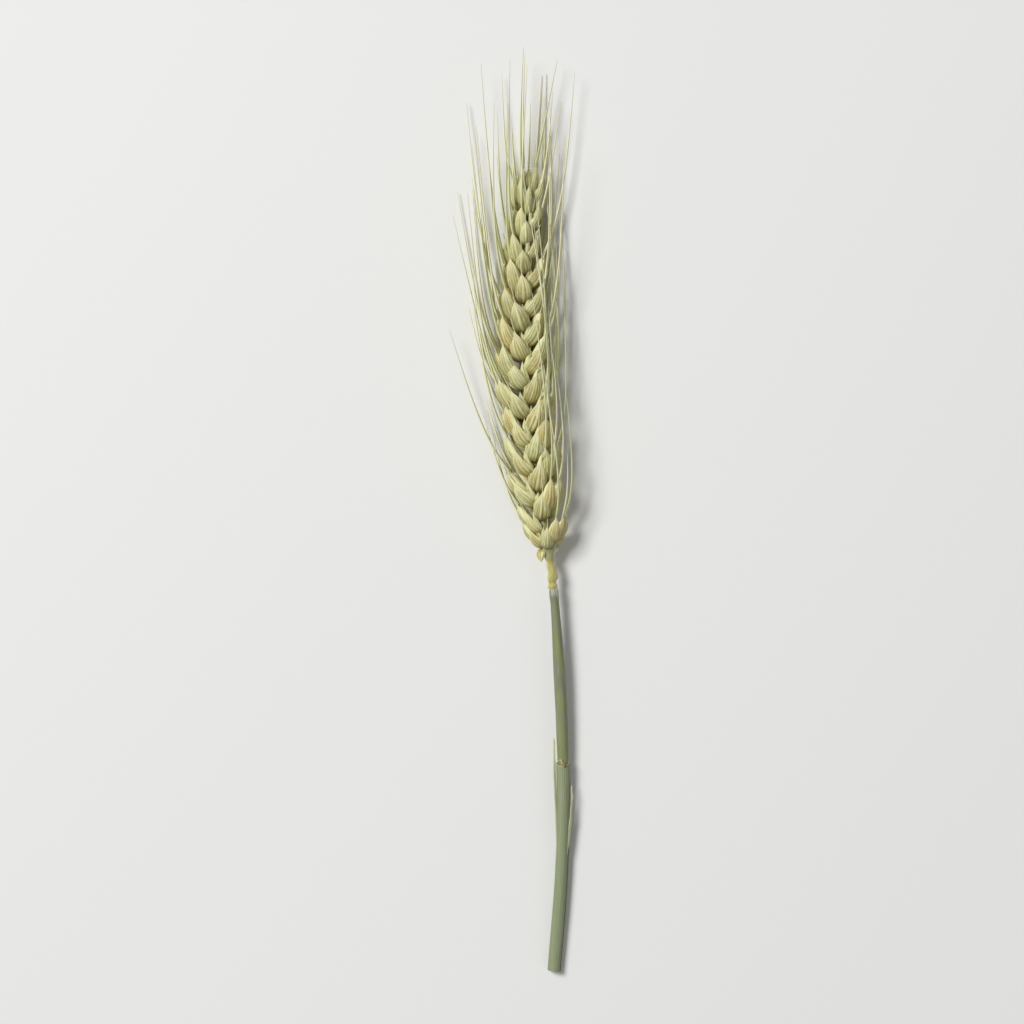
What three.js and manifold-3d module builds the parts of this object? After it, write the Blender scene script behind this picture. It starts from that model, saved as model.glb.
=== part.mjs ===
// A bearded wheat ear on its cut stalk, lying on a flat surface.
//
// The stalk lies along +X, from its cut end to the ear's tip, with +Z up. Seen from above, +X is up the
// picture and -Y is to its right. There are three pieces: the straw stem, the leaf sheath that wraps the
// stem's lower half, and the ear, which is a rachis of short joints with two rows of spikelets. Each
// spikelet has a glume at each side and two florets between them, and each floret ends in a long awn.
import * as THREE from "three";
import { mergeVertices } from "three/addons/utils/BufferGeometryUtils.js";
import Module from "manifold-3d";

const wasm = await Module();
wasm.setup();

// Places along the stalk, in millimetres from its cut end
const SHEATH_MOUTH = 49.6;
const NECK = 91.5;
const FIRST_SPIKELET = 101.2;
const SPIKELET_PITCH = 3.42;
const SPIKELETS = 24;
const OPPOSITE_SPIKELET = FIRST_SPIKELET + 0.3;
const TERMINAL_SPIKELET = FIRST_SPIKELET + SPIKELET_PITCH * SPIKELETS - 0.6;

// The stalk's centreline, at even steps along X: [sideways, height]
const AXIS_STEP = 24;
const AXIS_POINTS = [
  [-1.4, 1.5],
  [-3.2, 2.1],
  [-3.6, 2.8],
  [-2.7, 3.6],
  [-0.8, 4.5],
  [3.0, 5.05],
  [5.6, 5.0],
  [6.1, 4.6],
  [4.4, 3.6],
];

// Takes the middle of the whole, on the surface it lies on, to the origin
const TO_ORIGIN = [-109.9, -8.6, 0];

// Round sections, in millimetres
const STEM_RADIUS = 1.45;
const STEM_TOP_RADIUS = 1.0;
const NECK_SWELL = 0.16;
const STEM_SIDES = 10;
const STRAW_BORE_RADIUS = 0.45;
const STRAW_BORE_DEPTH = 9;
const SHEATH_RADIUS = 1.56;
const SHEATH_FLARE = 0.14;
const SHEATH_THICKNESS = 0.45;
const SHEATH_CLEARANCE = 0.24;
const SHEATH_SIDES = 12;
const MOUTH_GAP = 0.25;
const SEAM_HALF_WIDTH = 0.17;
const SEAM_TURN = -0.2;
const STRIP_HALF_THICKNESS = 0.14;
const RACHIS_RADIUS = 1.18;
const RACHIS_TIP_RADIUS = 0.85;
const KNOB_SWELL = 0.14;
const ZIGZAG = 0.2;
const NECK_GAP = 0.05;

// The strips that have torn away from the sheath, on its left with hand -1 and on its right with hand 1: how
// far each stands out to the side, and how high above the stalk's axis, at its foot and at its tip
const STRIPS = [
  { foot: 27, tip: 56, hand: -1, side: [1.2, 2.05], height: [0.6, 0.3], halfWidth: 0.34, taper: 0.25 },
  { foot: 28, tip: 44.6, hand: 1, side: [1.2, 2.1], height: [0.75, 0.6], halfWidth: 0.4, taper: 0.8 },
];

// The two rows turn about the axis by this much from the ear's base to its shoulder, in degrees
const ROLL_AT_BASE = 36;
const ROLL_AT_SHOULDER = -34;
const SHOULDER = 170;

// Seed-shaped scales and three-sided awns
const LOBE_SIDES = 6;
const LOBE_RINGS = 3;
const LOBE_WIDEST = 0.4;
const AWN_STEPS = 4;
const AWN_RADIUS = 0.3;
const AWN_TIP_RADIUS = 0.11;
const AWN_CLEARANCE = 0.42;

// The scales of a spikelet of size 1. up, out and aside are where the root is, spread is how far the scale
// leans to its own side and turn is how far its back faces that way, in degrees.
const GLUME = {
  length: 8.6, halfWidth: 2.3, depth: 1.7, bow: 1.0, out: -0.1, aside: 0.8, spread: 19, turn: 62,
};
const FLORET = {
  length: 9.8, halfWidth: 2.5, depth: 2.0, bow: 0.8, out: 0.3, aside: 0.6, spread: 9, turn: 22, awn: 1,
};
const SCALES = [
  { ...GLUME, side: -1, up: 0 },
  { ...GLUME, side: 1, up: 0 },
  { ...FLORET, side: -1, up: 1.6 },
  { ...FLORET, side: 1, up: 2.4 },
];

const { clamp, degToRad, lerp, smoothstep } = THREE.MathUtils;
const LEVEL = new THREE.Vector3(0, 0, 1);
const axisCurve = new THREE.CatmullRomCurve3(
  AXIS_POINTS.map(([y, z], i) => new THREE.Vector3(i * AXIS_STEP, y, z)),
  false,
  "catmullrom",
);
const AXIS_LENGTH = AXIS_STEP * (AXIS_POINTS.length - 1);

/** A repeatable number from -1 to 1 for a pair of whole numbers. */
function jitter(index, salt) {
  const value = Math.sin(index * 12.9898 + salt * 78.233) * 43758.5453;
  return 2 * (value - Math.floor(value)) - 1;
}

/** The level and upward directions square to a direction. */
function squareTo(along) {
  const right = new THREE.Vector3().crossVectors(along, LEVEL).normalize();
  return { right, up: new THREE.Vector3().crossVectors(right, along) };
}

/** The stalk's axis at x: its point and direction, with the level and upward directions square to it. */
function axisFrame(x) {
  const u = clamp(x / AXIS_LENGTH, 0, 1);
  const along = axisCurve.getTangent(u);
  const point = axisCurve.getPoint(u).addScaledVector(along, x - u * AXIS_LENGTH);
  return { point, along, ...squareTo(along) };
}

/** A point moved by shares of three directions. */
function offset(point, ...steps) {
  const moved = point.clone();
  for (const [direction, distance] of steps) moved.addScaledVector(direction, distance);
  return moved;
}

/** The direction that is turned from one direction towards another by an angle in radians. */
function turned(from, towards, angle) {
  return from.clone().multiplyScalar(Math.cos(angle)).addScaledVector(towards, Math.sin(angle));
}

/** A closed geometry as a solid, with its vertices moved to where place(x, y, z) says. */
function reshapedSolid(geometry, place) {
  const positions = geometry.attributes.position;
  for (let i = 0; i < positions.count; i++) {
    const moved = place(positions.getX(i), positions.getY(i), positions.getZ(i));
    positions.setXYZ(i, moved.x, moved.y, moved.z);
  }
  geometry.deleteAttribute("normal");
  geometry.deleteAttribute("uv");
  const merged = mergeVertices(geometry, 1e-5);
  return new wasm.Manifold(
    new wasm.Mesh({
      numProp: 3,
      vertProperties: merged.attributes.position.array,
      triVerts: Uint32Array.from(merged.index.array),
    }),
  );
}

/** Everything below the surface that the stalk lies on, to be cut away. */
function underFloor() {
  const block = new THREE.BoxGeometry(400, 100, 20);
  return reshapedSolid(block, (x, y, z) => new THREE.Vector3(x + AXIS_LENGTH / 2, y, z - 10));
}

/** A round bar along the stalk from one x to another, with its radius and sideways shift at each x. */
function stalkBar(from, to, radiusAt, sides, steps, shiftAt = () => 0) {
  const bar = new THREE.CylinderGeometry(1, 1, 1, sides, steps);
  return reshapedSolid(bar, (across, u, high) => {
    const x = lerp(from, to, u + 0.5);
    const { point, right, up } = axisFrame(x);
    const radius = radiusAt(x);
    return offset(point, [right, across * radius + shiftAt(x)], [up, high * radius]);
  });
}

/** Half the thickness of a seed-shaped scale at a share of its length, beside its widest. */
function lobeProfile(s) {
  return Math.pow(s / LOBE_WIDEST, 0.55) * Math.pow((1 - s) / (1 - LOBE_WIDEST), 0.82);
}

/** A seed-shaped scale from its root, with a rounder back and a flatter inner face. */
function lobe({ root, along, back, length, halfWidth, depth, bow }) {
  const across = new THREE.Vector3().crossVectors(along, back).normalize();
  const outward = new THREE.Vector3().crossVectors(across, along);
  const ball = new THREE.SphereGeometry(1, LOBE_SIDES, LOBE_RINGS);
  return reshapedSolid(ball, (x, y, z) => {
    const s = clamp((1 + y) / 2, 0, 1);
    const ring = Math.hypot(x, z);
    const swell = ring > 1e-6 ? lobeProfile(s) / ring : 0;
    const rise = z * swell * (z > 0 ? depth : 0.8 * depth) + bow * Math.sin(Math.PI * s);
    return offset(root, [along, s * length], [across, x * swell * halfWidth], [outward, rise]);
  });
}

/** A height that eases off above the surface and never comes lower than an awn can lie. */
function liftedHeight(z) {
  return AWN_CLEARANCE + Math.log(1 + Math.exp(z - AWN_CLEARANCE));
}

/** The points of an awn, which leaves its floret's tip and swings round to run along the ear. */
function awnPath({ root, start, end, length, swing }) {
  const step = length / AWN_STEPS;
  const points = [root];
  let place = root;
  for (let i = 0; i < AWN_STEPS; i++) {
    const swung = 1 - Math.exp((-(i + 0.5) * step) / swing);
    place = offset(place, [start.clone().lerp(end, swung).normalize(), step]);
    points.push(new THREE.Vector3(place.x, place.y, liftedHeight(place.z)));
  }
  return points;
}

/** A three-sided needle along an awn's points. */
function awn(shape) {
  const points = awnPath(shape);
  const needle = new THREE.CylinderGeometry(1, 1, 1, 3, AWN_STEPS);
  return reshapedSolid(needle, (across, u, high) => {
    const step = Math.round((u + 0.5) * AWN_STEPS);
    const ahead = points[Math.min(step + 1, AWN_STEPS)];
    const { right, up } = squareTo(ahead.clone().sub(points[Math.max(step - 1, 0)]).normalize());
    const radius = lerp(AWN_RADIUS, AWN_TIP_RADIUS, u + 0.5);
    return offset(points[step], [right, across * radius], [up, high * radius]);
  });
}

/** How large the spikelet at a share of the ear's length is, beside one in the middle. */
function spikeletSize(t) {
  return 0.76 + 0.24 * smoothstep(t, 0, 0.12) - 0.3 * Math.pow(smoothstep(t, 0.5, 1.05), 1.2);
}

/** How slim the scales at a share of the ear's length are, beside those in its middle. */
function scaleStretch(t) {
  return { longer: 1 + 0.3 * smoothstep(t, 0.85, 1), narrower: 1 - 0.25 * smoothstep(t, 0.75, 1) };
}

/** How far a spikelet leans out from the axis, in degrees. */
function spikeletLean(t) {
  return 31 - 6 * smoothstep(t, 0, 0.2) - 9 * smoothstep(t, 0.55, 1);
}

/** How long the awns are at a share of the ear's length. */
function awnLength(t) {
  return 26 + 22 * smoothstep(t, 0, 0.35) - 21.4 * smoothstep(t, 0.55, 1);
}

/** The scales of one spikelet: shapes for lobe(), each with the shape of its awn if it has one. */
function spikeletScales({ base, along, outward, t, lean, index }) {
  const aside = new THREE.Vector3().crossVectors(along, outward);
  const axis = turned(along, outward, lean);
  const away = turned(outward, along, -lean);
  const size = spikeletSize(t);
  const { longer, narrower } = scaleStretch(t);
  return SCALES.map((scale, part) => {
    const draw = (salt) => jitter(index, part * 10 + salt);
    const spread = degToRad(scale.side * scale.spread + 3.5 * draw(1));
    const direction = offset(turned(axis, aside, spread), [away, 0.07 * draw(2)]).normalize();
    const length = scale.length * size * longer * (1 + 0.06 * draw(3));
    const steps = [
      [axis, scale.up * size],
      [outward, scale.out * size],
      [aside, scale.side * scale.aside * size],
    ];
    const shape = {
      root: offset(base, ...steps),
      along: direction,
      back: turned(away, aside, degToRad(scale.side * scale.turn + 7 * draw(4))),
      length,
      halfWidth: scale.halfWidth * size * narrower,
      depth: scale.depth * size,
      bow: scale.bow * size,
    };
    if (!scale.awn) return { shape };
    const splay = 0.05 * scale.side + 0.08 * draw(5);
    const awnShape = {
      root: offset(shape.root, [direction, 0.9 * length]),
      start: direction,
      end: offset(along, [outward, 0.02 + 0.06 * draw(6)], [aside, splay]).normalize(),
      length: awnLength(t) * (1 + 0.16 * draw(7)),
      swing: 9 + 3 * draw(8),
    };
    return { shape, awnShape };
  });
}

/** The direction in which the spikelets of one row stand out of the rachis, for row 1 or -1. */
function rowDirection({ right, up }, x, row) {
  const roll = lerp(ROLL_AT_BASE, ROLL_AT_SHOULDER, smoothstep(x, FIRST_SPIKELET, SHOULDER));
  return turned(right, up, degToRad(roll)).multiplyScalar(row);
}

/** The scales of the spikelet at x in row 1 or -1. */
function rowSpikelet({ x, t, row, index }) {
  const frame = axisFrame(x);
  const outward = rowDirection(frame, x, row);
  const lean = degToRad(spikeletLean(t) + 3 * jitter(index, 50));
  return spikeletScales({ base: frame.point, along: frame.along, outward, t, lean, index });
}

/** Every scale of the ear, from its two lowest spikelets to the one at the tip. */
function earScales() {
  const scales = rowSpikelet({ x: OPPOSITE_SPIKELET, t: 0, row: -1, index: SPIKELETS + 1 });
  for (let index = 0; index < SPIKELETS; index++) {
    const x = FIRST_SPIKELET + SPIKELET_PITCH * index;
    scales.push(...rowSpikelet({ x, t: index / SPIKELETS, row: index % 2 ? -1 : 1, index }));
  }
  // The spikelet at the tip stands in line with the ear, with its own scales side by side seen from above
  const { point, along, up } = axisFrame(TERMINAL_SPIKELET);
  const base = offset(point, [up, -0.4]);
  scales.push(...spikeletScales({ base, along, outward: up, t: 1, lean: degToRad(4), index: SPIKELETS }));
  return scales;
}

/** The rachis: a zigzag bar of short joints, bare and knobbly below the lowest spikelet. */
function rachis() {
  const joint = (x) => (Math.PI * (x - FIRST_SPIKELET)) / SPIKELET_PITCH;
  const shiftAt = (x) => ZIGZAG * Math.sin(joint(x));
  const radiusAt = (x) => {
    const taper = smoothstep(x, FIRST_SPIKELET, TERMINAL_SPIKELET);
    return lerp(RACHIS_RADIUS, RACHIS_TIP_RADIUS, taper) * (1 + KNOB_SWELL * Math.cos(joint(x)));
  };
  const bare = stalkBar(NECK, FIRST_SPIKELET + 1.7, radiusAt, 8, 10, shiftAt);
  const covered = stalkBar(FIRST_SPIKELET, TERMINAL_SPIKELET + 3, radiusAt, 6, 24, shiftAt);
  return bare.add(covered);
}

/** The ear: the rachis with every scale and awn grown into it, as its one outer body. */
function ear() {
  const solids = [rachis()];
  for (const { shape, awnShape } of earScales()) {
    solids.push(lobe(shape));
    if (awnShape) solids.push(awn(awnShape));
  }
  const bodies = wasm.Manifold.union(solids).subtract(underFloor()).decompose();
  return bodies.reduce((largest, body) => (body.volume() > largest.volume() ? body : largest));
}

/** The sheath's outer radius, which opens a little towards its mouth. */
function sheathRadius(x) {
  return SHEATH_RADIUS + SHEATH_FLARE * smoothstep(x, SHEATH_MOUTH - 8, SHEATH_MOUTH);
}

/** The stem's radius above the sheath, where it tapers and then swells a little under the ear. */
function stemRadius(x) {
  const taper = lerp(STEM_RADIUS, STEM_TOP_RADIUS, smoothstep(x, SHEATH_MOUTH + 20, NECK));
  return taper + NECK_SWELL * smoothstep(x, NECK - 3, NECK - 1);
}

/** The stem: straw that is slimmer inside the sheath, with a narrow bore that shows at its cut end. */
function stem() {
  const slimRadius = SHEATH_RADIUS - SHEATH_THICKNESS - SHEATH_CLEARANCE;
  const covered = stalkBar(0, SHEATH_MOUTH + 1, () => slimRadius, STEM_SIDES, 14);
  const open = stalkBar(SHEATH_MOUTH + MOUTH_GAP, NECK - NECK_GAP, stemRadius, STEM_SIDES, 14);
  const bore = stalkBar(-1, STRAW_BORE_DEPTH, () => STRAW_BORE_RADIUS, STEM_SIDES, 2);
  return covered.add(open).subtract(bore).subtract(underFloor());
}

/** The seam between the sheath's edges. */
function sheathSeam() {
  const slot = new THREE.BoxGeometry(1, 1, 1, 15, 1, 1);
  return reshapedSolid(slot, (u, across, out) => {
    const { point, right, up } = axisFrame(lerp(-1, SHEATH_MOUTH + 1, u + 0.5));
    const outward = turned(right, up, SEAM_TURN);
    const sideways = turned(up, right, -SEAM_TURN);
    return offset(point, [outward, 3 * (out + 0.5)], [sideways, 2 * across * SEAM_HALF_WIDTH]);
  });
}

/** One torn strip: a thin blade whose foot is sunk into the sheath's wall. */
function tornStrip({ foot, tip, hand, side, height, halfWidth, taper }) {
  const blade = new THREE.CylinderGeometry(1, 1, 1, 6, 8);
  return reshapedSolid(blade, (across, u, high) => {
    const share = u + 0.5;
    const { point, right, up } = axisFrame(lerp(foot, tip, share));
    const away = smoothstep(share, 0, 0.8);
    const width = halfWidth * (1 - taper * share) * lerp(0.4, 1, smoothstep(share, 0, 0.25));
    const steps = [
      [right, hand * lerp(...side, away) + across * width],
      [up, lerp(...height, away) + high * STRIP_HALF_THICKNESS],
    ];
    return offset(point, ...steps);
  });
}

/** The leaf sheath: a thin sleeve round the stem, with a seam on its right and a torn strip on each side. */
function leafSheath() {
  const boreRadius = (x) => sheathRadius(x) - SHEATH_THICKNESS;
  const outer = stalkBar(0, SHEATH_MOUTH, sheathRadius, SHEATH_SIDES, 10);
  const bore = stalkBar(-1, SHEATH_MOUTH + 1, boreRadius, SHEATH_SIDES, 11);
  const sleeve = outer.subtract(bore).subtract(sheathSeam());
  return wasm.Manifold.union([sleeve, ...STRIPS.map(tornStrip)]).subtract(underFloor());
}

/** A named mesh of a solid, in one colour. */
function piece(name, solid, color, roughness) {
  const { numProp, vertProperties, triVerts } = solid.getMesh();
  const geometry = new THREE.BufferGeometry();
  geometry.setAttribute("position", new THREE.BufferAttribute(Float32Array.from(vertProperties), numProp));
  geometry.setIndex(new THREE.BufferAttribute(triVerts, 1));
  geometry.computeVertexNormals();
  const mesh = new THREE.Mesh(geometry, new THREE.MeshStandardMaterial({ color, roughness, metalness: 0 }));
  mesh.name = name;
  return mesh;
}

const wheatEar = new THREE.Group();
wheatEar.add(piece("ear", ear(), 0xc2bd80, 0.75));
wheatEar.add(piece("stem", stem(), 0x87906a, 0.6));
wheatEar.add(piece("leaf_sheath", leafSheath(), 0x929c74, 0.65));
wheatEar.position.set(...TO_ORIGIN);

export default wheatEar;
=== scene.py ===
"""The looks of a bearded wheat ear on its cut stalk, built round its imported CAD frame.

The stalk lies along +X, from its cut end to the ear's tip, with +Z up. Sizes are millimetres from the cut
end until a mesh is made, and then metres about the origin. Every scale and awn grows by the same rules as in
the CAD part, so each piece lies on the solid that it replaces and adds ribs, edges, teeth and veins to it.
"""

import logging
import math
from dataclasses import dataclass, field
from enum import Enum
from typing import Any

import bpy
import numpy as np
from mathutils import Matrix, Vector


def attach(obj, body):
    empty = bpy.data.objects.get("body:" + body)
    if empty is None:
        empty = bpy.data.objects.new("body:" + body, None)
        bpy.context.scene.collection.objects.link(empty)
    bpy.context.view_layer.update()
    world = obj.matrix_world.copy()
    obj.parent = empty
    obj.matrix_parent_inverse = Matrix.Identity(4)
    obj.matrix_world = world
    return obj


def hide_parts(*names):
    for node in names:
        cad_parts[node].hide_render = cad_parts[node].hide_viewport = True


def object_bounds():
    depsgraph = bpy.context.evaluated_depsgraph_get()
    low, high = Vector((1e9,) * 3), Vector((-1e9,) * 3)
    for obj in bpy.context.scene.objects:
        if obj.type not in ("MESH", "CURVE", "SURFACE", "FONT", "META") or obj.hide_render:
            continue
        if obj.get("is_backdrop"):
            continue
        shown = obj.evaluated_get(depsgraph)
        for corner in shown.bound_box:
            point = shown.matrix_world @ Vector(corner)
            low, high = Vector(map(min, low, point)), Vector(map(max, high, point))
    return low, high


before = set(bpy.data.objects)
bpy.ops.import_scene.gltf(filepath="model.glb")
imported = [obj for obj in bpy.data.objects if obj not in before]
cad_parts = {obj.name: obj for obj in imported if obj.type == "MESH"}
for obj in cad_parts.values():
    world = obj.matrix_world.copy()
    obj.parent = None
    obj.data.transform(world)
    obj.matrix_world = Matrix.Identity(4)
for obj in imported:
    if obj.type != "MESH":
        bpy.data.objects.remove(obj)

log = logging.getLogger("wheat_ear")

Array = np.ndarray
Colour = tuple[float, float, float]

MM = 0.001
# What takes a point that is measured from the cut end to the frame's origin.
TO_ORIGIN = np.array([-109.9, -8.6, 0.0])

# Places along the stalk, from its cut end, with the step from a spikelet to the next and their number.
SHEATH_MOUTH = 49.6
NECK = 91.5
FIRST_SPIKELET = 101.2
SPIKELET_PITCH = 3.42
SPIKELETS = 24
OPPOSITE_SPIKELET = FIRST_SPIKELET + 0.3
TERMINAL_SPIKELET = FIRST_SPIKELET + SPIKELET_PITCH * SPIKELETS - 0.6


class Row(Enum):
    """The two rows of spikelets, by the side of the rachis that they stand on."""

    RIGHT = 1
    LEFT = -1


def smoothstep(value: Array | float, low: float, high: float) -> Array | float:
    """The smooth step from 0 at low to 1 at high."""
    share = np.clip((np.asarray(value, float) - low) / (high - low), 0.0, 1.0)
    return share * share * (3.0 - 2.0 * share)


def mix(low: Array | float, high: Array | float, share: Array | float) -> Array | float:
    """The value at a share of the way from low to high."""
    return low + (high - low) * share


def jitter(index: float, salt: float) -> float:
    """A repeatable number from -1 to 1 for a pair of whole numbers, as in the CAD part."""
    value = math.sin(index * 12.9898 + salt * 78.233) * 43758.5453
    return 2.0 * (value - math.floor(value)) - 1.0


def unit(vectors: Array) -> Array:
    """The vectors at length 1."""
    vectors = np.asarray(vectors, float)
    return vectors / np.linalg.norm(vectors, axis=-1, keepdims=True)


def turned(start: Array, towards: Array, angle: float) -> Array:
    """The direction turned from one direction towards another by an angle in radians."""
    return start * math.cos(angle) + towards * math.sin(angle)


def square_to(along: Array) -> tuple[Array, Array]:
    """The level and upward directions square to each direction."""
    right = unit(np.cross(along, (0.0, 0.0, 1.0)))
    return right, np.cross(right, along)


def once_round(count: int) -> Array:
    """Even angles once round a ring, in radians."""
    return 2 * math.pi * np.arange(count) / count


def fibres(*parts: Array | float) -> Array:
    """Fibre coordinates for the fine streaks, from three grids or numbers."""
    return np.stack(np.broadcast_arrays(*parts), -1)


def pressed(height: Array, give: float = 0.06) -> Array:
    """Heights that the surface below presses up to above 0, the lowest still the lowest."""
    return np.where(height < give, give**2 / (2 * give - np.minimum(height, give)), height)


def srgb(red: int, green: int, blue: int) -> Colour:
    """A colour as Blender's linear light, from 0 to 255 display values."""
    shares = (channel / 255.0 for channel in (red, green, blue))
    return tuple(s / 12.92 if s <= 0.04045 else ((s + 0.055) / 1.055) ** 2.4 for s in shares)


@dataclass(frozen=True)
class Frames:
    """Points along a line, with three directions square to each other for each point, or for all."""

    point: Array
    along: Array
    right: Array
    up: Array

    def rings(self, across: Array, high: Array) -> Array:
        """Rings of points round the line.

        Args:
            across: How far each point is to the right, one row for each ring.
            high: How far each point is up, in the same shape.

        Returns:
            The points, as rings by points by 3.
        """
        sideways = self.right[:, None, :] * across[..., None]
        return self.point[:, None, :] + sideways + self.up[:, None, :] * high[..., None]


@dataclass(frozen=True)
class StalkAxis:
    """The stalk's centreline: a smooth curve through points at even steps along X, as in the CAD part."""

    step: float = 24.0
    points: tuple[tuple[float, float], ...] = (
        (-1.4, 1.5), (-3.2, 2.1), (-3.6, 2.8), (-2.7, 3.6), (-0.8, 4.5),
        (3.0, 5.05), (5.6, 5.0), (6.1, 4.6), (4.4, 3.6),
    )

    def frames(self, x: Array | float) -> Frames:
        """The axis at each x, with its level and upward directions.

        Args:
            x: Places along the stalk.

        Returns:
            One row for each place.
        """
        x = np.atleast_1d(np.asarray(x, float))
        inner = np.clip(x, 0.0, self.step * (len(self.points) - 1))
        knots = np.array([(i * self.step, y, z) for i, (y, z) in enumerate(self.points)])
        knots = np.vstack([2 * knots[0] - knots[1], knots, 2 * knots[-1] - knots[-2]])
        span = np.minimum((inner / self.step).astype(int), len(self.points) - 2)
        w = (inner / self.step - span)[:, None]
        before, start, end, after = (knots[span + k] for k in range(4))
        leave, arrive = (end - before) / 2, (after - start) / 2
        square = 3 * (end - start) - 2 * leave - arrive
        cube = 2 * (start - end) + leave + arrive
        along = unit(leave + 2 * w * square + 3 * w * w * cube)
        point = start + w * leave + w**2 * square + w**3 * cube + along * (x - inner)[:, None]
        return Frames(point, along, *square_to(along))


AXIS = StalkAxis()


def beside_axis(x: Array, across: Array, high: Array) -> Array:
    """Points beside the stalk's centreline, each at an x of its own.

    Args:
        x: A grid of places along the stalk.
        across: How far each point is to the right.
        high: How far each point is up.

    Returns:
        The points, as the grid by 3.
    """
    rings = AXIS.frames(x.ravel()).rings(across.reshape(-1, 1), high.reshape(-1, 1))
    return rings.reshape(*x.shape, 3)


class Draft:
    """Points, faces and point values gathered for one piece."""

    def __init__(self, name: str) -> None:
        """Starts an empty draft.

        Args:
            name: The piece's name.
        """
        self.name = name
        self.count = 0
        self.points: list[Array] = []
        self.faces: list[tuple[int, ...]] = []
        self.values: list[dict[str, Array]] = []

    def _add(self, points: Array, faces: list[Array], values: dict[str, Array]) -> None:
        """Takes in points with their faces.

        Args:
            points: The points, one to a row.
            faces: Blocks of faces of equal size, which count from the first of these points.
            values: Point values, one for each point.
        """
        for block in faces:
            self.faces.extend(map(tuple, (block + self.count).tolist()))
        self.points.append(points)
        self.values.append(values)
        self.count += len(points)

    def tube(self, rings: Array, **values: Array | float) -> None:
        """Adds a closed tube through rings of points, with a fan over each end.

        Args:
            rings: Rings by points by 3. Seen along the tube each ring runs from its right side upwards.
            values: Point values, as a grid, a row, a column or one number for all.
        """
        rows, columns = rings.shape[:2]
        at = np.arange(rows * columns).reshape(rows, columns)
        beside = np.roll(at, -1, axis=1)
        sides = np.stack([at[:-1], at[1:], beside[1:], beside[:-1]], -1).reshape(-1, 4)
        start, end = rows * columns, rows * columns + 1
        first = np.stack([at[0], beside[0], np.full(columns, start)], -1)
        last = np.stack([beside[-1], at[-1], np.full(columns, end)], -1)
        spread = _over_grid(values, rings)
        self._add(_with_ends(rings), [sides, first, last], {k: _with_ends(v) for k, v in spread.items()})

    def sheet(self, outer: Array, inner: Array, **values: Array | float) -> None:
        """Adds a thin closed sheet between two grids of points, with a rim all round.

        Args:
            outer: Rows by columns by 3, on the outer face.
            inner: The matching points of the inner face.
            values: Point values as in a tube, the same on both faces.
        """
        rows, columns = outer.shape[:2]
        at = np.arange(rows * columns).reshape(rows, columns)
        front = np.stack([at[:-1, :-1], at[1:, :-1], at[1:, 1:], at[:-1, 1:]], -1).reshape(-1, 4)
        back = front[:, [0, 3, 2, 1]] + rows * columns
        edge = np.concatenate([at[0, :-1], at[:-1, -1], at[-1, :0:-1], at[:0:-1, 0]])
        beside = np.roll(edge, -1)
        rim = np.stack([edge, beside, beside + rows * columns, edge + rows * columns], -1)
        doubled = {k: np.concatenate([_flat(v)] * 2) for k, v in _over_grid(values, outer).items()}
        self._add(np.concatenate([_flat(outer), _flat(inner)]), [front, back, rim], doubled)

    def build(self, material: bpy.types.Material, slot: str, replaces: str, sharp: float = 180.0) -> None:
        """Makes the piece from what was gathered and sets it in the frame.

        Args:
            material: Its finish.
            slot: A material slot's name; not used.
            replaces: The CAD node that it stands for.
            sharp: The angle between faces over which an edge is sharp, in degrees.
        """
        points = np.concatenate(self.points) + TO_ORIGIN
        points[:, 2] = pressed(points[:, 2])
        mesh = bpy.data.meshes.new(self.name)
        mesh.from_pydata((points * MM).tolist(), [], self.faces)
        for name in self.values[0]:
            value = np.concatenate([block[name] for block in self.values])
            kind, key = ("FLOAT_VECTOR", "vector") if value.ndim == 2 else ("FLOAT", "value")
            layer = mesh.attributes.new(name, kind, "POINT")
            layer.data.foreach_set(key, value.astype(np.float32).ravel())
        mesh.shade_smooth()
        mesh.set_sharp_from_angle(angle=math.radians(sharp))
        mesh.materials.append(material)
        piece = bpy.data.objects.new(self.name, mesh)
        bpy.context.scene.collection.objects.link(piece)
        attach(piece, "root")
        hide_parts(replaces)
        log.info("%s: %d points, %d faces", self.name, len(mesh.vertices), len(mesh.polygons))


def _over_grid(values: dict[str, Array | float], points: Array) -> dict[str, Array]:
    """Each value spread over a whole grid of points, where vectors are so already."""
    shape = points.shape[:2]
    return {k: v if np.ndim(v) == 3 else np.broadcast_to(v, shape) for k, v in values.items()}


def _flat(grid: Array) -> Array:
    """A grid of numbers or vectors as one column."""
    return grid.reshape(-1, 3) if grid.ndim == 3 else grid.reshape(-1)


def _with_ends(grid: Array) -> Array:
    """A grid as one column, followed by the means of its first and last rows."""
    return np.concatenate([_flat(grid), grid[0].mean(0)[None], grid[-1].mean(0)[None]])


class Signal:
    """A shader socket that takes part in Python expressions."""

    def __init__(self, shader: "Shader", socket: bpy.types.NodeSocket) -> None:
        """Takes the socket and the shader that it is in."""
        self.shader = shader
        self.socket = socket

    def __add__(self, other: "Value") -> "Signal":
        """The sum."""
        return self.shader.maths("ADD", self, other)

    def __sub__(self, other: "Value") -> "Signal":
        """The difference."""
        return self.shader.maths("SUBTRACT", self, other)

    def __rsub__(self, other: "Value") -> "Signal":
        """The difference from a number."""
        return self.shader.maths("SUBTRACT", other, self)

    def __mul__(self, other: "Value") -> "Signal":
        """The product."""
        return self.shader.maths("MULTIPLY", self, other)

    def __pow__(self, other: "Value") -> "Signal":
        """The power."""
        return self.shader.maths("POWER", self, other)

    def __rpow__(self, other: "Value") -> "Signal":
        """A number to this power."""
        return self.shader.maths("POWER", other, self)

    __radd__ = __add__
    __rmul__ = __mul__


Value = Signal | float | Colour


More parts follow.
